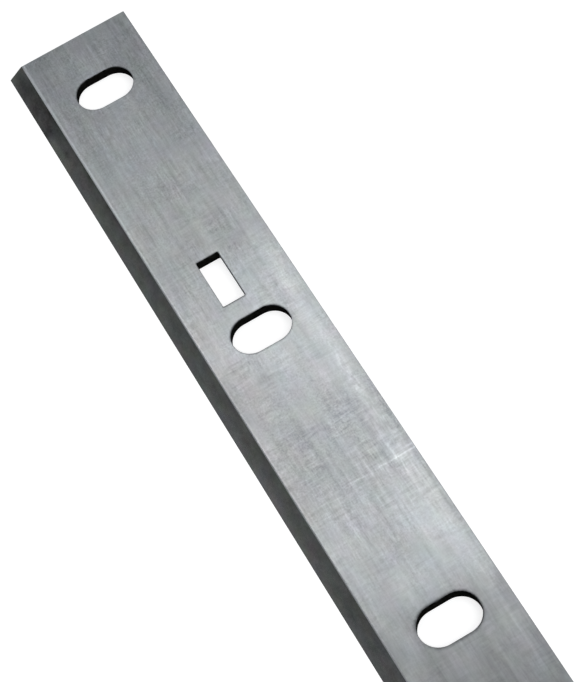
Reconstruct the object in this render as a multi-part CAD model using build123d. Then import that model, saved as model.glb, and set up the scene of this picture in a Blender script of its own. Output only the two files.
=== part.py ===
from build123d import *
import os
from math import radians, tan

# A planer knife: one flat bar of ground steel with a bevel ground along one long edge.
# Four slots across the bar take the screws that clamp it in its cutter block, and let it
# be set in and out. One rectangular window beside an inner slot takes the setting key.
# The origin is under the middle of the bar, which lies along X on its flat underside.
# The cutting edge is at -Y, the back edge at +Y, and the bevel is on top. Millimetres.

# Bar
LENGTH = 300.0
WIDTH = 35.0
THICKNESS = 3.0
BEVEL_ANGLE = 35.0
EDGE_BREAK = 0.15

# Screw slots, long way across the bar and in the middle of its flat top
SLOT_LENGTH = 15.7
SLOT_WIDTH = 10.2
OUTER_SLOT_TO_END = 19.5
INNER_SLOT_SPACING = 88.5

# Setting window, long way along the bar
WINDOW_LENGTH = 14.5
WINDOW_WIDTH = 6.2
WINDOW_CORNER = 0.3
WINDOW_TO_SLOT = 5.65
WINDOW_TO_SLOT_LINE = 1.7

# Both mouths of every hole
MOUTH_BREAK = 0.15

# Places that follow from the sizes above
cutting_edge_y = -WIDTH / 2
back_y = WIDTH / 2
ridge_y = cutting_edge_y + THICKNESS / tan(radians(BEVEL_ANGLE))
slot_line_y = (ridge_y + back_y) / 2
outer_slot_x = LENGTH / 2 - OUTER_SLOT_TO_END
inner_slot_x = INNER_SLOT_SPACING / 2
slot_places = [(x, slot_line_y) for x in (-outer_slot_x, -inner_slot_x, inner_slot_x, outer_slot_x)]
window_x = -inner_slot_x - SLOT_WIDTH / 2 - WINDOW_TO_SLOT - WINDOW_LENGTH / 2
window_y = slot_line_y - WINDOW_TO_SLOT_LINE


def bar():
    """The plain bar: its section, drawn out from the middle to both ends."""
    corners = [
        (cutting_edge_y, 0),
        (back_y, 0),
        (back_y, THICKNESS),
        (ridge_y, THICKNESS),
    ]
    section = Plane.YZ * make_face(Polyline(*corners, close=True))
    return extrude(section, LENGTH / 2, both=True)


def break_edges(solid):
    """Dull every outer edge that doesn't touch the cutting edge, which stays sharp."""
    clear_of_edge = cutting_edge_y + EDGE_BREAK
    dulled = solid.edges().filter_by(lambda edge: edge.bounding_box().min.Y > clear_of_edge)
    return chamfer(dulled, EDGE_BREAK)


def holes():
    """Everything that goes through the bar: the four slots and the window."""
    slot = Rot(0, 0, 90) * SlotOverall(SLOT_LENGTH, SLOT_WIDTH)
    window = RectangleRounded(WINDOW_LENGTH, WINDOW_WIDTH, WINDOW_CORNER)
    outline = Sketch() + [Pos(*place) * slot for place in slot_places]
    outline += Pos(window_x, window_y) * window
    return extrude(outline, THICKNESS)


def break_mouths(solid):
    """Take the burr off both mouths of every hole."""
    faces = solid.faces().sort_by(Axis.Z)
    rims = [rim for face in (faces[0], faces[-1]) for rim in face.inner_wires()]
    return chamfer([edge for rim in rims for edge in rim.edges()], MOUTH_BREAK)


knife = break_mouths(break_edges(bar()) - holes())

os.makedirs("parts", exist_ok=True)
export_step(knife, "parts/planer_knife.step")
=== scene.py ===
"""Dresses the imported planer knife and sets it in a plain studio.

The knife is one bar of ground steel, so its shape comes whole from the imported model. This
script sorts the bar's faces into finishes, builds each finish from shader nodes, and adds
the floor, the lights and the camera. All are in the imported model's frame: the studio and
the camera in metres, and the places and sizes on the knife in millimetres.
"""

import logging
import math
from dataclasses import dataclass, field
from enum import Enum
from typing import Any

import bpy
from mathutils import Matrix, Vector

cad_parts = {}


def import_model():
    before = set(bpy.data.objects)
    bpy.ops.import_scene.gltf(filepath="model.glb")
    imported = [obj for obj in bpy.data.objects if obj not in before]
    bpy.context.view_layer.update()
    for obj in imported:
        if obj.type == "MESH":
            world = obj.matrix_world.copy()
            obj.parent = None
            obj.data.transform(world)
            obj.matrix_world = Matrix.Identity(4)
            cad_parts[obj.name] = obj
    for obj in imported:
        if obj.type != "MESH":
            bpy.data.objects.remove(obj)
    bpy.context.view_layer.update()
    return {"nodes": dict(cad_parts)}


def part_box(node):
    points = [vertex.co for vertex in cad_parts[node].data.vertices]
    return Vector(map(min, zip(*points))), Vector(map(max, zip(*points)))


LOG = logging.getLogger("planer_knife")
MM = 0.001

Socket = bpy.types.NodeSocket
Colour = tuple[float, float, float]
Triple = tuple[float, float, float]
ORIGIN: Triple = (0.0, 0.0, 0.0)
WHITE: tuple[float, float, float, float] = (1.0, 1.0, 1.0, 1.0)

# The middle of what a noise texture puts out
NOISE_MIDDLE = 0.5

# The clouds in which patchy marks come and go: how fine they are, the noise at which one starts
# and is whole, and the step from the clouds of one seed to those of the next
CLOUD_SCALE = 0.16
CLOUD_LOW = 0.35
CLOUD_HIGH = 0.65
CLOUD_STEP = 7.0

# The noise from which a broken patch starts to show, and at which it is whole
FLECK_LOW = 0.42
FLECK_HIGH = 0.6

# A reach, in millimetres, so long that a patch is even along the whole bar
ENDLESS = 1500.0

# What tells the bar's faces apart: parts of their normals, then distances in metres
SQUARE_ON = 0.99
UPRIGHT = 0.01
SLOPING = 0.3
BEVEL_LEAN = -0.5
BEVEL_RISE = 0.8
BEVEL_REACH = 5.0 * MM
HOLES_FROM = 6.0 * MM
OUTER_MARGIN = 1.0 * MM


class Surface(Enum):
    """The kinds of surface that the knife has, by how each one was made."""

    GROUND_FACE = "ground_face"
    GROUND_BEVEL = "ground_bevel"
    HOLE_WALL = "hole_wall"
    KEYED_WALL = "keyed_wall"
    HOLE_MOUTH = "hole_mouth"
    DULLED_EDGE = "dulled_edge"


@dataclass
class Wiring:
    """A short way to add nodes to one tree and to join them.

    Attributes:
        tree: The node tree that takes the nodes.
    """

    tree: bpy.types.NodeTree

    def add(self, kind: str, inputs: dict[Any, Any] | None = None, **settings: Any) -> bpy.types.Node:
        """Adds one node.

        Args:
            kind: The node's Blender type.
            inputs: A value or a socket to join for each named or numbered input.
            **settings: The node's own settings.

        Returns:
            The new node.
        """
        node = self.tree.nodes.new(kind)
        for name, value in settings.items():
            setattr(node, name, value)
        for name, value in (inputs or {}).items():
            self.feed(node.inputs[name], value)
        return node

    def feed(self, target: Socket, value: Any) -> None:
        """Gives an input a value, or joins a socket to it.

        Args:
            target: The input.
            value: A plain value, or the socket that feeds it.
        """
        if isinstance(value, bpy.types.NodeSocket):
            self.tree.links.new(value, target)
        else:
            target.default_value = value

    def math(self, operation: str, first: Any, second: Any = 0.0, third: Any = 0.0) -> Socket:
        """Adds a Math node.

        Args:
            operation: The sum it does.
            first: Its first number or socket.
            second: Its second number or socket.
            third: Its third number or socket.

        Returns:
            The result.
        """
        node = self.add("ShaderNodeMath", {0: first, 1: second, 2: third}, operation=operation)
        return node.outputs[0]

    def vector(self, operation: str, first: Any, second: Any) -> Socket:
        """Adds a Vector Math node.

        Args:
            operation: The sum it does.
            first: Its first vector or socket.
            second: Its second vector or socket.

        Returns:
            The result, as a vector.
        """
        node = self.add("ShaderNodeVectorMath", {0: first, 1: second}, operation=operation)
        return node.outputs[0]

    def ramp(self, value: Any, low: Any, high: Any, start: float = 0.0, end: float = 1.0) -> Socket:
        """Adds a smooth step.

        Args:
            value: The socket that is read.
            low: Where the step starts, as a number or a socket.
            high: Where the step ends, as a number or a socket.
            start: What comes out below the step.
            end: What comes out above the step.

        Returns:
            The stepped value.
        """
        node = self.add(
            "ShaderNodeMapRange",
            {"Value": value, "From Min": low, "From Max": high, "To Min": start, "To Max": end},
            interpolation_type="SMOOTHSTEP",
        )
        return node.outputs["Result"]

    def blend(self, share: Any, first: Any, second: Any, way: str = "MIX") -> Socket:
        """Adds a colour Mix node.

        Args:
            share: How much of the second colour there is.
            first: The first colour.
            second: The second colour.
            way: How the two are mixed.

        Returns:
            The mixed colour.
        """
        node = self.add("ShaderNodeMix", data_type="RGBA", blend_type=way)
        self.feed(node.inputs[0], share)
        self.feed(node.inputs[6], first)
        self.feed(node.inputs[7], second)
        return node.outputs[2]

    def group(self, tree: bpy.types.NodeTree, **inputs: Any) -> bpy.types.Node:
        """Places a node group.

        Args:
            tree: The group.
            **inputs: Its inputs by name, with _ for each space.

        Returns:
            The group's node.
        """
        node = self.add("ShaderNodeGroup", node_tree=tree)
        for name, value in inputs.items():
            self.feed(node.inputs[name.replace("_", " ")], value)
        return node


def place_in_mm(wiring: Wiring) -> Socket:
    """Returns each point's own place on the knife, in millimetres."""
    place = wiring.add("ShaderNodeTexCoord").outputs["Object"]
    return wiring.vector("MULTIPLY", place, (1.0 / MM, 1.0 / MM, 1.0 / MM))


def open_material(name: str) -> tuple[bpy.types.Material, Wiring, bpy.types.Node]:
    """Starts a material.

    Args:
        name: The material's name.

    Returns:
        The material, its wiring and its shader.
    """
    material = bpy.data.materials.new(name)
    material.use_nodes = True
    return material, Wiring(material.node_tree), material.node_tree.nodes["Principled BSDF"]


@dataclass
class EffectGroups:
    """The shader node groups that the finishes share, each built once.

    Each reads a Place in millimetres. Most take the Level of light that the finish has so far,
    where 1 is the finish's own shade, and put out the Level with their effect added.

    Attributes:
        made: The groups by name.
    """

    made: dict[str, bpy.types.NodeTree] = field(default_factory=dict)

    def _open(
        self, name: str, inputs: dict[str, Any], outputs: dict[str, str]
    ) -> tuple[Wiring, bpy.types.bpy_prop_collection, bpy.types.bpy_prop_collection]:
        """Starts a group.

        Args:
            name: The group's name.
            inputs: The default for each input's name: a number, or three for a vector.
            outputs: The kind of socket for each output's name.

        Returns:
            The group's wiring, the sockets of what it is given, and those of what it puts out.
        """
        tree = bpy.data.node_groups.new(name, "ShaderNodeTree")
        for label, default in inputs.items():
            kind = "NodeSocketVector" if isinstance(default, tuple) else "NodeSocketFloat"
            socket = tree.interface.new_socket(name=label, in_out="INPUT", socket_type=kind)
            socket.default_value = default
        for label, kind in outputs.items():
            tree.interface.new_socket(name=label, in_out="OUTPUT", socket_type=kind)
        wiring = Wiring(tree)
        entry = wiring.add("NodeGroupInput")
        leave = wiring.add("NodeGroupOutput")
        self.made[name] = tree
        return wiring, entry.outputs, leave.inputs

    def grinding_marks(self) -> bpy.types.NodeTree:
        """Builds one layer of the marks that a grinding wheel leaves.

        Returns:
            A group whose marks are drawn out by Size and lighten and darken the Level.
        """
        name = "grinding_marks"
        if name in self.made:
            return self.made[name]
        wiring, given, result = self._open(
            name,
            {
                "Place": ORIGIN,
                "Size": (10.0, 0.3, 0.3),
                "Seed": 0.0,
                "Detail": 1.0,
                "Patchy": 0.0,
                "Strength": 0.1,
                "Level": 1.0,
            },
            {"Level": "NodeSocketFloat"},
        )
        drawn = wiring.vector("DIVIDE", given["Place"], given["Size"])
        moved = wiring.vector("ADD", drawn, given["Seed"])
        noise = wiring.add("ShaderNodeTexNoise", {"Vector": moved, "Scale": 1.0, "Detail": given["Detail"]})
        centred = wiring.math("SUBTRACT", noise.outputs[0], NOISE_MIDDLE)
        broad = wiring.vector("ADD", given["Place"], wiring.math("MULTIPLY", given["Seed"], CLOUD_STEP))
        cloud = wiring.add("ShaderNodeTexNoise", {"Vector": broad, "Scale": CLOUD_SCALE, "Detail": 1.0})
        spread = wiring.ramp(cloud.outputs[0], CLOUD_LOW, CLOUD_HIGH, -1.0, 1.0)
        share = wiring.math("MULTIPLY_ADD", spread, given["Patchy"], 1.0)
        depth = wiring.math("MULTIPLY", share, given["Strength"])
        wiring.feed(result["Level"], wiring.math("MULTIPLY_ADD", centred, depth, given["Level"]))
        return self.made[name]

    def soft_patch(self) -> bpy.types.NodeTree:
        """Builds a soft oval patch, whole or broken into flecks.

        Returns:
            A group that adds Strength to the Level at Centre, falling to nothing at Reach.
        """
        name = "soft_patch"
        if name in self.made:
            return self.made[name]
        wiring, given, result = self._open(
            name,
            {
                "Place": ORIGIN,
                "Centre": ORIGIN,
                "Reach": (10.0, 10.0, 10.0),
                "Soft": 1.0,
                "Fleck": (1.0, 1.0, 1.0),
                "Broken": 0.0,
                "Strength": 0.1,
                "Level": 1.0,
            },
            {"Level": "NodeSocketFloat"},
        )
        away = wiring.vector("SUBTRACT", given["Place"], given["Centre"])
        share = wiring.vector("DIVIDE", away, given["Reach"])
        length = wiring.add("ShaderNodeVectorMath", {0: share}, operation="LENGTH")
        full = wiring.math("SUBTRACT", 1.0, given["Soft"])
        mask = wiring.ramp(length.outputs["Value"], full, 1.0, 1.0, 0.0)
        drawn = wiring.vector("DIVIDE", given["Place"], given["Fleck"])
        noise = wiring.add("ShaderNodeTexNoise", {"Vector": drawn, "Scale": 1.0, "Detail": 1.0})
        gap = wiring.ramp(noise.outputs[0], FLECK_LOW, FLECK_HIGH, 1.0, 0.0)
        kept = wiring.math("SUBTRACT", 1.0, wiring.math("MULTIPLY", gap, given["Broken"]))
        depth = wiring.math("MULTIPLY", wiring.math("MULTIPLY", mask, kept), given["Strength"])
        wiring.feed(result["Level"], wiring.math("ADD", given["Level"], depth))
        return self.made[name]

    def painted_hole_rim_shade(self) -> bpy.types.NodeTree:
        """Builds a soft painted shade that follows one side of a hole's rim.

        Returns:
            A group that adds Strength to the Level at the rim, falling to nothing at Width.
        """
        name = "painted_hole_rim_shade"
        if name in self.made:
            return self.made[name]
        wiring, given, result = self._open(
            name,
            {
                "Place": ORIGIN,
                "Centre": ORIGIN,
                "Half": (1.0, 1.0, 1.0),
                "Radius": 1.0,
                "Side": (1.0, 0.0, 0.0),
                "Width": 1.0,
                "Strength": 0.1,
                "Level": 1.0,
            },
            {"Level": "NodeSocketFloat"},
        )
        away = wiring.vector("SUBTRACT", given["Place"], given["Centre"])
        opposite = wiring.vector("MULTIPLY", given["Half"], (-1.0, -1.0, -1.0))
        held = wiring.vector("MAXIMUM", wiring.vector("MINIMUM", away, given["Half"]), opposite)
        out = wiring.vector("SUBTRACT", away, held)
        length = wiring.add("ShaderNodeVectorMath", {0: out}, operation="LENGTH")
        gap = wiring.math("SUBTRACT", length.outputs["Value"], given["Radius"])
        mask = wiring.ramp(gap, 0.0, given["Width"], 1.0, 0.0)
        ahead = wiring.add("ShaderNodeVectorMath", {0: out, 1: given["Side"]}, operation="DOT_PRODUCT")
        cosine = wiring.math("DIVIDE", ahead.outputs["Value"], length.outputs["Value"])
        facing = wiring.math("MAXIMUM", cosine, 0.0)
        depth = wiring.math("MULTIPLY", wiring.math("MULTIPLY", mask, facing), given["Strength"])
        wiring.feed(result["Level"], wiring.math("ADD", given["Level"], depth))
        return self.made[name]

    def soft_tint(self) -> bpy.types.NodeTree:
        """Builds the faint clouds of colour that handling and oil leave on steel.

        Returns:
            A group that puts out a Tint about white.
        """
        name = "soft_tint"
        if name in self.made:
            return self.made[name]
        wiring, given, result = self._open(
            name,
            {"Place": ORIGIN, "Size": (5.0, 5.0, 5.0), "Seed": 0.0, "Strength": 0.1},
            {"Tint": "NodeSocketColor"},
        )
        drawn = wiring.vector("DIVIDE", given["Place"], given["Size"])
        moved = wiring.vector("ADD", drawn, given["Seed"])
        noise = wiring.add("ShaderNodeTexNoise", {"Vector": moved, "Scale": 1.0, "Detail": 2.0})
        centred = wiring.vector("SUBTRACT", noise.outputs["Color"], (NOISE_MIDDLE,) * 3)
        scaled = wiring.vector("MULTIPLY", centred, given["Strength"])
        wiring.feed(result["Tint"], wiring.vector("ADD", scaled, (1.0, 1.0, 1.0)))
        return self.made[name]


@dataclass(frozen=True)
class Patch:
    """A soft oval place on the knife that is lighter or darker than the rest.

    Attributes:
        centre: Its middle, in millimetres.
        reach: How far it goes along each axis, in millimetres.
        strength: The share of light that it adds, or takes where it is below 0.
        soft: The share of its reach over which it fades out.
        broken: How far it is broken into flecks, from 0 to 1.
        fleck: How far one fleck reaches along each axis, in millimetres.
    """

    centre: Triple
    reach: Triple
    strength: float
    soft: float = 1.0
    broken: float = 0.0
    fleck: Triple = (1.6, 0.7, 0.7)


@dataclass(frozen=True)
class Hole:
    """A slot or window through the bar: a rectangle with a round border about it.

    Attributes:
        centre: Its middle, in millimetres.
        half: How far the rectangle reaches from its middle along each axis.
        radius: The width of the border, which is the radius of its ends or corners.
    """

    centre: Triple
    half: Triple
    radius: float


@dataclass(frozen=True)
class PaintedRimShade:
    """A painted shade on the metal along one side of a hole, darkening it towards the rim.

    Attributes:
        hole: The hole.
        side: The direction from the hole's middle to the side that it lies on.
        width: How far it goes from the hole, in millimetres.
        strength: The share of light that it adds, or takes where it is below 0.
    """

    hole: Hole
    side: Triple
    width: float
    strength: float


@dataclass(frozen=True)
class Marks:
    """One layer of fine marks, all drawn out the same way.

    Attributes:
        size: How far one mark reaches along each axis, in millimetres.
        strength: How much the marks lighten and darken the metal.
        detail: How many rounds of finer marks lie within them.
        seed: Where in the endless pattern the layer starts.
        patchy: How far the marks come and go from place to place, from 0 to 1.
        uneven: Where they stand out more or less, as a share of their strength.
    """

    size: Triple
    strength: float
    detail: float = 1.0
    seed: float = 0.0
    patchy: float = 0.0
    uneven: tuple[Patch, ...] = ()


@dataclass(frozen=True)
class Stain:
    """A faint stain that shifts the hue of the metal.

    Attributes:
        patches: Where it lies. Their strengths add up to its depth, from 0 to 1.
        hue: What it multiplies the metal's colour by where it is deepest.
    """

    patches: tuple[Patch, ...]
    hue: Colour


def lay_marks(wiring: Wiring, effects: EffectGroups, place: Socket, layers: tuple[Marks, ...]) -> Any:
    """Lays layers of marks on a surface.

    Args:
        wiring: The material's wiring.
        effects: The shared node groups.
        place: The place in millimetres.
        layers: The layers of marks.

    Returns:
        The level of light with the marks.
    """
    level: Any = 1.0
    for marks in layers:
        strength: Any = marks.strength
        if marks.uneven:
            share = lay_patches(wiring, effects, place, marks.uneven, 1.0)
            strength = wiring.math("MULTIPLY", share, marks.strength)
        node = wiring.group(
            effects.grinding_marks(),
            Place=place,
            Size=marks.size,
            Seed=marks.seed,
            Detail=marks.detail,
            Patchy=marks.patchy,
            Strength=strength,
            Level=level,
        )
        level = node.outputs["Level"]
    return level


def lay_patches(
    wiring: Wiring, effects: EffectGroups, place: Socket, patches: tuple[Patch, ...], level: Any
) -> Any:
    """Adds patches to a level of light, or to a share.

    Args:
        wiring: The material's wiring.
        effects: The shared node groups.
        place: The place in millimetres.
        patches: The patches.
        level: The level so far.

    Returns:
        The level with the patches.
    """
    for patch in patches:
        node = wiring.group(
            effects.soft_patch(),
            Place=place,
            Centre=patch.centre,
            Reach=patch.reach,
            Soft=patch.soft,
            Fleck=patch.fleck,
            Broken=patch.broken,
            Strength=patch.strength,
            Level=level,
        )
        level = node.outputs["Level"]
    return level


@dataclass(frozen=True)
class GroundSteel:
    """Steel as a grinding wheel leaves it.

    Attributes:
        name: The material's name.
        colour: The metal's own colour.
        roughness: How far the wheel's marks spread a reflection.
        marks: The layers of fine marks.
        patches: The places that are lighter or darker than the rest.
        rims: The painted shades along the rims of the holes.
        stains: The stains.
        tint_size: How far one cloud of colour reaches along each axis, in millimetres.
        tint: How strong the clouds of colour are.
        relief: How deep the marks are, in metres.
        polish: How much smoother the metal is where a mark lightens it.
    """

    name: str
    colour: Colour
    roughness: float
    marks: tuple[Marks, ...]
    patches: tuple[Patch, ...] = ()
    rims: tuple[PaintedRimShade, ...] = ()
    stains: tuple[Stain, ...] = ()
    tint_size: Triple = (4.0, 3.0, 3.0)
    tint: float = 0.1
    relief: float = 0.00001
    polish: float = 0.04

    def build(self, effects: EffectGroups) -> bpy.types.Material:
        """Builds the material.

        Args:
            effects: The shared node groups.

        Returns:
            The material.
        """
        material, wiring, shader = open_material(self.name)
        place = place_in_mm(wiring)
        marked = lay_marks(wiring, effects, place, self.marks)
        patched = lay_patches(wiring, effects, place, self.patches, marked)
        # Painted shade along the holes' rims is added here.
        level = self._rimmed(wiring, effects, place, patched)
        tint = wiring.group(effects.soft_tint(), Place=place, Size=self.tint_size, Strength=self.tint)
        lit = wiring.vector("MULTIPLY", tint.outputs["Tint"], level)
        for stain in self.stains:
            depth = lay_patches(wiring, effects, place, stain.patches, 0.0)
            lit = wiring.vector("MULTIPLY", lit, wiring.blend(depth, WHITE, (*stain.hue, 1.0)))
        wiring.feed(shader.inputs["Base Color"], wiring.vector("MULTIPLY", lit, self.colour))
        off_level = wiring.math("SUBTRACT", marked, 1.0)
        smooth = wiring.math("MULTIPLY_ADD", off_level, -self.polish, self.roughness)
        wiring.feed(shader.inputs["Roughness"], smooth)
        shader.inputs["Metallic"].default_value = 1.0
        bump = wiring.add("ShaderNodeBump", {"Height": marked, "Distance": self.relief})
        wiring.feed(shader.inputs["Normal"], bump.outputs[0])
        return material

    def _rimmed(self, wiring: Wiring, effects: EffectGroups, place: Socket, level: Any) -> Any:
        """Adds the painted shades along the rims of the holes.

        Args:
            wiring: The material's wiring.
            effects: The shared node groups.
            place: The place in millimetres.
            level: The level so far.

        Returns:
            The level with the shades.
        """
        for rim in self.rims:
            node = wiring.group(
                effects.painted_hole_rim_shade(),
                Place=place,
                Centre=rim.hole.centre,
                Half=rim.hole.half,
                Radius=rim.hole.radius,
                Side=rim.side,
                Width=rim.width,
                Strength=rim.strength,
                Level=level,
            )
            level = node.outputs["Level"]
        return level


@dataclass(frozen=True)
class ScaleAndPaintedShade:
    """The dark scale that hardening leaves where no wheel reaches, near black and without specular
    reflection: partly the scale's own colour, partly painted shade for the dark inside the holes.

    Attributes:
        name: The material's name.
        colour: Its colour.
        roughness: How dull it is.
        crust: The marks of the scale.
        crust_roughness: How much duller the scale is where a mark lightens it.
        relief: How deep the marks are, in metres.
        rubbed: Where it is rubbed off. Their strengths add up to the share of bare steel.
        bare: The colour of the bare steel.
        bare_roughness: How far the bare steel spreads a reflection.
    """

    name: str
    colour: Colour = (0.0072, 0.0074, 0.0064)
    roughness: float = 0.6
    crust: Marks = Marks(size=(0.8, 0.8, 0.8), strength=2.5, detail=2.0, seed=3.0)
    crust_roughness: float = 0.3
    relief: float = 0.00002
    rubbed: tuple[Patch, ...] = ()
    bare: Colour = (0.66, 0.67, 0.68)
    bare_roughness: float = 0.25

    def build(self, effects: EffectGroups) -> bpy.types.Material:
        """Builds the material.

        Args:
            effects: The shared node groups.

        Returns:
            The material.
        """
        material, wiring, shader = open_material(self.name)
        place = place_in_mm(wiring)
        level = lay_marks(wiring, effects, place, (self.crust,))
        bared = lay_patches(wiring, effects, place, self.rubbed, 0.0)
        dark = wiring.vector("MULTIPLY", level, self.colour)
        wiring.feed(shader.inputs["Base Color"], wiring.blend(bared, dark, (*self.bare, 1.0)))
        off_level = wiring.math("SUBTRACT", level, 1.0)
        dull = wiring.math("MULTIPLY_ADD", off_level, self.crust_roughness, self.roughness)
        smooth = wiring.math("MULTIPLY_ADD", bared, self.bare_roughness - self.roughness, dull)
        wiring.feed(shader.inputs["Roughness"], smooth)
        wiring.feed(shader.inputs["Metallic"], bared)
        # Painted shade: no specular reflection, so the walls stay near black whatever they face.
        shader.inputs["Specular IOR Level"].default_value = 0.0
        bump = wiring.add("ShaderNodeBump", {"Height": level, "Distance": self.relief})
        wiring.feed(shader.inputs["Normal"], bump.outputs[0])
        return material


# The stretches of the top face where marks stand out more, or less
HANDLED_MIDDLE: Patch = Patch((-20.0, 3.0, 3.0), (85.0, 60.0, 60.0), 0.85)
FAR_END: Patch = Patch((-150.0, 0.0, 3.0), (90.0, 90.0, 90.0), 0.45)
NEAR_END: Patch = Patch((60.0, 0.0, 3.0), (42.0, 80.0, 80.0), -0.65)
BEFORE_MIDDLE: Patch = Patch((-25.0, 3.0, 3.0), (20.0, 60.0, 60.0), -0.65)
BEFORE_WINDOW: Patch = Patch((-82.0, 0.0, 3.0), (16.0, 60.0, 60.0), -0.35)
PAST_MIDDLE: Patch = Patch((12.0, 3.0, 3.0), (20.0, 60.0, 60.0), 0.4)


def slot_at(x: float) -> Hole:
    """Returns the screw slot whose middle is at x along the bar."""
    return Hole(centre=(x, 2.14, 1.5), half=(0.0, 2.75, 9.0), radius=5.1)


OUTER_LEFT_SLOT: Hole = slot_at(-130.5)
INNER_LEFT_SLOT: Hole = slot_at(-44.25)
INNER_RIGHT_SLOT: Hole = slot_at(44.25)
OUTER_RIGHT_SLOT: Hole = slot_at(130.5)
WINDOW: Hole = Hole(centre=(-62.25, 0.44, 1.5), half=(6.95, 2.8, 9.0), radius=0.3)

LEFT: Triple = (-1.0, 0.0, 0.0)
RIGHT: Triple = (1.0, 0.0, 0.0)
BACK: Triple = (0.0, 1.0, 0.0)

# The painted shade on the top face along the holes
PAINTED_FACE_RIM_SHADES: tuple[PaintedRimShade, ...] = (
    PaintedRimShade(OUTER_LEFT_SLOT, LEFT, 0.50, -0.50),
    PaintedRimShade(OUTER_LEFT_SLOT, RIGHT, 0.70, -0.30),
    PaintedRimShade(WINDOW, LEFT, 0.60, -0.80),
    PaintedRimShade(WINDOW, RIGHT, 0.75, -0.80),
    PaintedRimShade(INNER_LEFT_SLOT, LEFT, 0.65, -0.75),
    PaintedRimShade(INNER_LEFT_SLOT, RIGHT, 0.70, -0.60),
    PaintedRimShade(INNER_RIGHT_SLOT, LEFT, 0.95, -0.72),
    PaintedRimShade(INNER_RIGHT_SLOT, RIGHT, 1.05, -0.46),
    PaintedRimShade(INNER_RIGHT_SLOT, BACK, 0.55, -0.50),
    PaintedRimShade(OUTER_RIGHT_SLOT, LEFT, 0.75, -0.60),
    PaintedRimShade(OUTER_RIGHT_SLOT, RIGHT, 0.90, -0.60),
)

# The painted shade on the dulled mouths of the holes
PAINTED_MOUTH_RIM_SHADES: tuple[PaintedRimShade, ...] = (
    PaintedRimShade(OUTER_LEFT_SLOT, LEFT, 3.0, -0.97),
    PaintedRimShade(WINDOW, LEFT, 3.0, -0.97),
    PaintedRimShade(WINDOW, RIGHT, 1.0, -0.80),
    PaintedRimShade(INNER_LEFT_SLOT, LEFT, 3.0, -0.97),
    PaintedRimShade(INNER_LEFT_SLOT, RIGHT, 1.0, -0.55),
    PaintedRimShade(INNER_RIGHT_SLOT, LEFT, 3.0, -0.97),
    PaintedRimShade(INNER_RIGHT_SLOT, RIGHT, 1.0, -0.60),
    PaintedRimShade(INNER_RIGHT_SLOT, BACK, 1.0, -0.60),
    PaintedRimShade(OUTER_RIGHT_SLOT, LEFT, 3.0, -0.97),
    PaintedRimShade(OUTER_RIGHT_SLOT, RIGHT, 1.0, -0.60),
)


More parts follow.
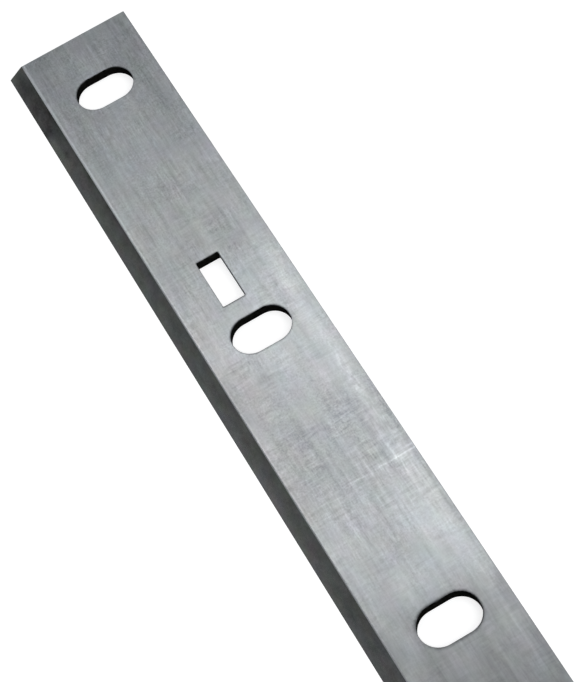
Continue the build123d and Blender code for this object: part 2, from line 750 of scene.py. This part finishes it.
@dataclass
class PlanerKnife:
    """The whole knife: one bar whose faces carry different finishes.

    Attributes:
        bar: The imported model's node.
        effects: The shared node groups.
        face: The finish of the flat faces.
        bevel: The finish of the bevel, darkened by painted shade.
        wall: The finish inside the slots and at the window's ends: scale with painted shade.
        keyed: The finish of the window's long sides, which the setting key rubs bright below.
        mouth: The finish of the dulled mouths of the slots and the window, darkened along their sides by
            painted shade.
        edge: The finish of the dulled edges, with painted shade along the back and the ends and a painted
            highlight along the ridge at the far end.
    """

    bar: bpy.types.Object
    effects: EffectGroups
    face: GroundSteel = GroundSteel(
        name="ground_face",
        colour=(0.478, 0.500, 0.513),
        roughness=0.30,
        marks=(
            Marks(
                (2.2, 0.38, 0.38),
                0.28,
                seed=0.0,
                patchy=0.6,
                uneven=(FAR_END, NEAR_END, BEFORE_MIDDLE, BEFORE_WINDOW),
            ),
            Marks(
                (0.38, 2.2, 2.2),
                0.11,
                seed=11.0,
                patchy=1.0,
                uneven=(HANDLED_MIDDLE, NEAR_END, BEFORE_MIDDLE),
            ),
            Marks(
                (22.0, 1.0, 1.0),
                0.34,
                detail=2.0,
                seed=23.0,
                patchy=0.5,
                uneven=(FAR_END, BEFORE_MIDDLE, PAST_MIDDLE),
            ),
            Marks((60.0, 2.5, 2.5), 0.24, seed=31.0),
            Marks(
                (0.8, 5.0, 5.0),
                0.17,
                detail=2.0,
                seed=37.0,
                patchy=1.0,
                uneven=(HANDLED_MIDDLE, BEFORE_MIDDLE),
            ),
            Marks(
                (2.4, 1.6, 1.6),
                0.16,
                seed=43.0,
                patchy=0.8,
                uneven=(FAR_END, BEFORE_MIDDLE, BEFORE_WINDOW),
            ),
            Marks((12.0, 7.0, 7.0), 0.28, seed=53.0),
            Marks((0.45, 0.45, 0.45), 0.34, seed=67.0, patchy=0.4, uneven=(FAR_END, NEAR_END)),
        ),
        patches=(
            # Painted shade and painted highlight: the next five patches darken the middle and lighten the
            # face from about x 0 to 45, reshaping the key lamp's reflection.
            Patch((-10.0, 2.0, 3.0), (36.0, 26.0, 30.0), -0.22),
            Patch((24.0, 13.0, 3.0), (30.0, 12.0, 30.0), 0.24),
            Patch((28.0, -10.0, 3.0), (26.0, 9.0, 30.0), 0.15),
            Patch((14.0, -2.0, 3.0), (32.0, 8.0, 30.0), 0.11),
            Patch((32.0, 0.0, 3.0), (9.0, 11.0, 30.0), 0.18),
            Patch((43.5, 3.0, 3.0), (10.5, 40.0, 30.0), -0.20),
            # Painted shade: the face darkens towards the near end, where the lamp's reflection falls off.
            Patch((118.0, 3.0, 3.0), (79.0, 100.0, 60.0), -0.30, soft=0.42),
            Patch((-29.0, -12.0, 3.0), (22.0, 9.0, 30.0), -0.14),
            Patch((-58.0, 14.0, 3.0), (16.0, 8.0, 30.0), 0.13),
            # Painted shade where the lamp's reflection dims, about x -89 to -57.
            Patch((-73.0, 1.0, 3.0), (16.0, 30.0, 30.0), -0.10),
            Patch((-69.0, -13.0, 3.0), (13.0, 12.0, 30.0), -0.15),
            # Painted highlight: the lamp's reflection a little brighter from about x -154 to -82.
            Patch((-118.0, -1.0, 3.0), (36.0, 12.0, 30.0), 0.09),
            Patch((-140.0, 2.0, 3.0), (9.0, 11.0, 30.0), 0.08),
            Patch((-131.0, 2.0, 3.0), (13.0, 7.0, 30.0), 0.13),
            Patch((-52.5, 2.0, 3.0), (5.0, 9.0, 30.0), -0.08),
            Patch((-57.0, 8.2, 3.0), (9.0, 2.4, 30.0), -0.16),
            Patch((44.5, -7.6, 3.0), (7.0, 3.2, 30.0), 0.22),
            Patch((-136.0, 14.0, 3.0), (30.0, 8.0, 30.0), -0.11),
            Patch((-150.0, -10.0, 3.0), (9.0, 9.0, 30.0), -0.20),
            Patch((-20.0, 14.1, 3.0), (24.0, 1.6, 4.0), 0.24, broken=0.85, fleck=(2.4, 0.7, 0.7)),
            Patch((4.0, 12.4, 3.0), (16.0, 1.0, 4.0), 0.30, broken=0.85, fleck=(2.4, 0.7, 0.7)),
            Patch((3.4, 16.0, 3.0), (0.45, 8.0, 4.0), 0.40, broken=0.3, fleck=(0.6, 0.6, 0.6)),
            Patch((3.4, 8.0, 3.0), (0.45, 9.0, 4.0), 0.22, broken=0.75, fleck=(0.6, 0.8, 0.8)),
            Patch((3.4, 1.0, 3.0), (0.45, 6.0, 4.0), 0.20, broken=0.6, fleck=(0.6, 0.8, 0.8)),
            Patch((2.2, 16.5, 3.0), (0.45, 3.5, 4.0), 0.34, broken=0.3, fleck=(0.6, 0.6, 0.6)),
            Patch((56.0, 14.2, 3.0), (16.0, 0.8, 4.0), 0.12),
            Patch((-5.0, 18.0, 3.0), (85.0, 3.2, 4.0), -0.24),
            # Painted highlight: a bright line along the ridge between the face and the bevel, strongest
            # towards the far end.
            Patch((-125.0, -12.9, 3.0), (97.0, 0.6, 4.0), 0.58),
            Patch((-30.0, -12.9, 3.0), (60.0, 0.6, 4.0), 0.12),
            Patch((-90.0, -12.1, 3.0), (90.0, 1.3, 4.0), 0.14),
        ),
        rims=PAINTED_FACE_RIM_SHADES,
        stains=(
            Stain((Patch((-30.0, -14.0, 3.0), (44.0, 10.0, 30.0), 1.0, soft=0.5),), (1.042, 1.0, 0.993)),
            Stain((Patch((-84.0, -1.0, 3.0), (23.0, 24.0, 30.0), 1.0, soft=0.6),), (1.0, 1.0, 0.980)),
        ),
        tint_size=(6.5, 4.5, 4.5),
        tint=0.12,
    )
    bevel: GroundSteel = GroundSteel(
        name="ground_bevel",
        # Painted shade: the bevel's colour is much darker than the face's, standing in for the dim side of
        # the room that the bevel reflects.
        colour=(0.152, 0.156, 0.148),
        roughness=0.26,
        marks=(
            Marks((0.6, 0.5, 0.5), 0.52, seed=71.0),
            Marks((3.5, 1.8, 1.8), 0.66, detail=2.0, seed=83.0),
            Marks((16.0, 0.8, 0.8), 0.2, seed=89.0),
        ),
        patches=(
            Patch((0.0, -17.5, 0.0), (ENDLESS, 3.4, 3.4), 0.18),
            Patch((-5.0, -17.5, 0.0), (60.0, 3.4, 3.4), 0.28),
            # Darker towards the far end: partly the stains there, partly painted shade.
            Patch((-100.0, -13.4, 2.9), (70.0, 3.4, 3.4), -0.22),
            Patch((-134.0, -15.5, 1.5), (20.0, 8.0, 8.0), -0.46),
            Patch((-144.5, -16.2, 1.0), (6.5, 5.0, 5.0), -0.32),
            Patch((-136.5, -16.6, 0.7), (3.5, 2.0, 2.0), -0.24),
            Patch((-128.0, -16.8, 0.6), (4.0, 2.6, 2.6), -0.38),
            Patch((-124.0, -16.6, 0.8), (5.0, 1.6, 1.6), 0.40),
            Patch((-118.6, -15.4, 1.4), (2.5, 1.4, 1.4), -0.3),
            Patch((-6.0, -15.5, 1.5), (7.0, 4.0, 4.0), 0.14),
            Patch((28.0, -15.5, 1.5), (8.0, 5.0, 5.0), -0.14),
        ),
        tint_size=(6.0, 3.0, 3.0),
        tint=0.27,
    )
    wall: ScaleAndPaintedShade = ScaleAndPaintedShade("hardening_scale_and_shade")
    keyed: ScaleAndPaintedShade = ScaleAndPaintedShade(
        "keyed_scale_and_shade", rubbed=(Patch(ORIGIN, (ENDLESS, ENDLESS, 1.65), 1.0, soft=0.3),)
    )
    mouth: GroundSteel = GroundSteel(
        name="dulled_mouth",
        colour=(0.44, 0.46, 0.47),
        roughness=0.38,
        marks=(Marks((1.2, 1.2, 0.5), 0.3, seed=101.0),),
        # Painted shade darkens the mouths, almost to black on their left sides.
        rims=PAINTED_MOUTH_RIM_SHADES,
    )
    edge: GroundSteel = GroundSteel(
        name="dulled_edge",
        colour=(0.52, 0.54, 0.55),
        roughness=0.35,
        marks=(Marks((3.0, 0.5, 0.5), 0.3, seed=97.0),),
        patches=(
            # Painted highlight on the ridge's dulled edge towards the far end.
            Patch((-150.0, -13.2, 3.0), (110.0, 3.0, 3.0), 0.45),
            # Painted shade: the dulled edges along the back and at both ends are darkened, lighter again
            # about the middle of the back.
            Patch((0.0, 17.5, 1.5), (ENDLESS, 6.0, 6.0), -0.62, soft=0.4),
            Patch((-20.0, 17.5, 1.5), (110.0, 6.0, 6.0), 0.30, soft=0.6),
            Patch((-150.0, 1.5, 1.5), (4.0, 19.0, 19.0), -0.62, soft=0.3),
            Patch((150.0, 1.5, 1.5), (4.0, 19.0, 19.0), -0.62, soft=0.3),
        ),
    )

    def dress(self) -> None:
        """Gives every face of the bar its finish."""
        finishes = {
            Surface.GROUND_FACE: self.face,
            Surface.GROUND_BEVEL: self.bevel,
            Surface.HOLE_WALL: self.wall,
            Surface.KEYED_WALL: self.keyed,
            Surface.HOLE_MOUTH: self.mouth,
            Surface.DULLED_EDGE: self.edge,
        }
        mesh = self.bar.data
        mesh.materials.clear()
        places = {}
        for surface, finish in finishes.items():
            places[surface] = len(mesh.materials)
            mesh.materials.append(finish.build(self.effects))
        counts = dict.fromkeys(finishes, 0)
        low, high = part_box(self.bar.name)
        for polygon in mesh.polygons:
            surface = self._surface_of(polygon, low, high)
            polygon.material_index = places[surface]
            counts[surface] += 1
        for surface, count in counts.items():
            LOG.info("%s: %d faces are %s", self.bar.name, count, surface.value)

    @staticmethod
    def _surface_of(polygon: bpy.types.MeshPolygon, low: Vector, high: Vector) -> Surface:
        """Says what kind of surface a face belongs to.

        Args:
            polygon: The face.
            low: The bar's lowest corner.
            high: The bar's highest corner.

        Returns:
            The kind of surface.
        """
        normal = polygon.normal
        centre = polygon.center
        if abs(normal.z) > SQUARE_ON:
            return Surface.GROUND_FACE
        leans = normal.y < BEVEL_LEAN and normal.z > BEVEL_RISE
        if leans and centre.y < low.y + BEVEL_REACH:
            return Surface.GROUND_BEVEL
        clear_of_ends = low.x + OUTER_MARGIN < centre.x < high.x - OUTER_MARGIN
        if clear_of_ends and low.y + HOLES_FROM < centre.y < high.y - OUTER_MARGIN:
            if abs(normal.z) > SLOPING:
                return Surface.HOLE_MOUTH
            beside_window = abs(centre.x / MM - WINDOW.centre[0]) < WINDOW.half[0]
            keyed = beside_window and abs(normal.y) > SQUARE_ON
            return Surface.KEYED_WALL if keyed else Surface.HOLE_WALL
        if abs(normal.z) < UPRIGHT and (abs(normal.x) > SQUARE_ON or normal.y > SQUARE_ON):
            return Surface.GROUND_FACE
        return Surface.DULLED_EDGE


@dataclass(frozen=True)
class Softbox:
    """A flat soft lamp.

    Attributes:
        name: The lamp's name.
        towards: The direction from the knife to the lamp.
        distance: How far off it hangs, in metres.
        width: Its level side, in metres.
        height: Its other side, in metres.
        glow: How bright its face is, where white paper in full light is 1.
    """

    name: str
    towards: Triple
    distance: float
    width: float
    height: float
    glow: float

    def hang(self, aim: Vector) -> bpy.types.Object:
        """Hangs the lamp.

        Args:
            aim: The point that it faces.

        Returns:
            The lamp.
        """
        data = bpy.data.lights.new(self.name, "AREA")
        data.shape = "RECTANGLE"
        data.size = self.width
        data.size_y = self.height
        data.energy = self.glow * math.pi * self.width * self.height
        lamp = bpy.data.objects.new(self.name, data)
        bpy.context.scene.collection.objects.link(lamp)
        out = Vector(self.towards).normalized()
        lamp.location = aim + out * self.distance
        lamp.rotation_mode = "QUATERNION"
        lamp.rotation_quaternion = out.to_track_quat("Z", "Y")
        return lamp


@dataclass
class Studio:
    """The plain room that the knife is pictured in.

    Attributes:
        floor_size: The length of the floor's side, in metres.
        floor_gap: How far the floor lies under the knife, in millimetres, to keep the two apart.
        floor_colour: The floor's colour.
        floor_roughness: How matt the floor is.
        floor_lift: The light that the floor shows to the camera on top of the lamps'.
        fade: How far from the knife that light starts to fade, and where it ends, in metres.
        low_glow: How bright the room is at the level of the floor.
        high_glow: How bright the room is overhead.
        glow_heights: Where the glow changes, from 0 at the level of the floor to 1 overhead.
        low_hue: The hue of the room's light away from the middle of the ceiling.
        hue_heights: Where the hue changes, on the same scale.
        aim: The point that the lamps face.
        softboxes: The lamps.
    """

    floor_size: float = 16.0
    floor_gap: float = 0.02
    floor_colour: Colour = (0.62, 0.62, 0.62)
    floor_roughness: float = 0.9
    floor_lift: float = 0.72
    fade: tuple[float, float] = (0.8, 4.0)
    low_glow: float = 0.43
    high_glow: float = 0.33
    glow_heights: tuple[float, float] = (0.2, 0.95)
    low_hue: Colour = (0.97, 1.0, 1.04)
    hue_heights: tuple[float, float] = (0.74, 0.92)
    aim: Vector = field(default_factory=lambda: Vector((-0.02, 0.0, 0.003)))
    softboxes: tuple[Softbox, ...] = (
        Softbox("key_softbox", (-0.401, 0.247, 0.882), 1.2, 0.59, 0.164, 2.8),
        Softbox("fill_softbox", (0.55, 0.35, 0.76), 1.3, 1.2, 1.2, 1.5),
    )

    def build(self) -> None:
        """Builds the floor, the room's own light and the lamps."""
        self._lay_floor()
        self._light_room()
        for softbox in self.softboxes:
            softbox.hang(self.aim)
            LOG.info("%s hangs %.2f m off", softbox.name, softbox.distance)

    def _lay_floor(self) -> None:
        """Lays the floor just under the knife."""
        half = self.floor_size / 2
        below = -self.floor_gap * MM
        mesh = bpy.data.meshes.new("floor")
        outline = [(-half, -half, below), (half, -half, below), (half, half, below), (-half, half, below)]
        mesh.from_pydata(outline, [], [(0, 1, 2, 3)])
        mesh.materials.append(self._floor_finish())
        floor = bpy.data.objects.new("floor", mesh)
        bpy.context.scene.collection.objects.link(floor)

    def _floor_finish(self) -> bpy.types.Material:
        """Builds the floor's material.

        Returns:
            A matt white that fades into the room far from the knife.
        """
        material, wiring, shader = open_material("floor_paper")
        place = wiring.add("ShaderNodeTexCoord").outputs["Object"]
        away = wiring.add("ShaderNodeVectorMath", {0: place}, operation="LENGTH").outputs["Value"]
        near = wiring.ramp(away, *self.fade, 1.0, 0.0)
        path = wiring.add("ShaderNodeLightPath")
        seen = wiring.math("MAXIMUM", path.outputs["Is Camera Ray"], path.outputs["Is Glossy Ray"])
        seen = wiring.math("MAXIMUM", seen, path.outputs["Is Transmission Ray"])
        lift = wiring.math("MULTIPLY", wiring.math("MULTIPLY", seen, near), self.floor_lift)
        shader.inputs["Base Color"].default_value = (*self.floor_colour, 1.0)
        shader.inputs["Roughness"].default_value = self.floor_roughness
        shader.inputs["Specular IOR Level"].default_value = 0.0
        shader.inputs["Emission Color"].default_value = WHITE
        wiring.feed(shader.inputs["Emission Strength"], lift)
        return material

    def _light_room(self) -> None:
        """Gives the room a soft glow, a little cooler and brighter at its sides than overhead."""
        world = bpy.data.worlds.new("room")
        bpy.context.scene.world = world
        world.use_nodes = True
        wiring = Wiring(world.node_tree)
        back = world.node_tree.nodes["Background"]
        direction = wiring.add("ShaderNodeTexCoord").outputs["Generated"]
        parts = wiring.add("ShaderNodeSeparateXYZ", {0: direction})
        glow = wiring.ramp(parts.outputs["Z"], *self.glow_heights, self.low_glow, self.high_glow)
        aside = wiring.ramp(parts.outputs["Z"], *self.hue_heights, 1.0, 0.0)
        hue = wiring.blend(aside, WHITE, (*self.low_hue, 1.0))
        wiring.feed(back.inputs["Color"], hue)
        wiring.feed(back.inputs["Strength"], glow)


@dataclass(frozen=True)
class PhotoCamera:
    """The camera at the photograph's place.

    Attributes:
        location: Where it stands, in metres.
        right: The direction to the right of the picture.
        up: The direction to the top of the picture.
        back: The direction from the knife to the camera.
        lens: Its focal length, in millimetres.
        sensor: The long side of its sensor, in millimetres.
        nearest: The nearest distance that it sees, in metres.
        farthest: The farthest distance that it sees, in metres.
    """

    location: Triple = (0.223556, -0.051671, 0.465253)
    right: Triple = (0.47774921, 0.86347904, -0.16173939)
    up: Triple = (-0.72986271, 0.49260083, 0.47396714)
    back: Triple = (0.48893365, -0.10838988, 0.86556081)
    lens: float = 117.48
    sensor: float = 36.0
    nearest: float = 0.01
    farthest: float = 50.0

    def place(self) -> bpy.types.Object:
        """Makes the camera and gives it to the scene.

        Returns:
            The camera.
        """
        data = bpy.data.cameras.new("photo_camera")
        data.lens = self.lens
        data.sensor_width = self.sensor
        data.clip_start = self.nearest
        data.clip_end = self.farthest
        camera = bpy.data.objects.new("photo_camera", data)
        turn = Matrix((self.right, self.up, self.back)).transposed()
        camera.rotation_mode = "QUATERNION"
        camera.rotation_quaternion = turn.to_quaternion()
        camera.location = self.location
        bpy.context.scene.collection.objects.link(camera)
        bpy.context.scene.camera = camera
        return camera


def main() -> None:
    """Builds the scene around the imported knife."""
    logging.basicConfig(level=logging.INFO, format="%(message)s")
    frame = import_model()
    bpy.context.scene.view_settings.view_transform = "Standard"
    PhotoCamera().place()
    Studio().build()
    PlanerKnife(bar=frame["nodes"]["planer_knife"], effects=EffectGroups()).dress()


if __name__ == "__main__":
    main()
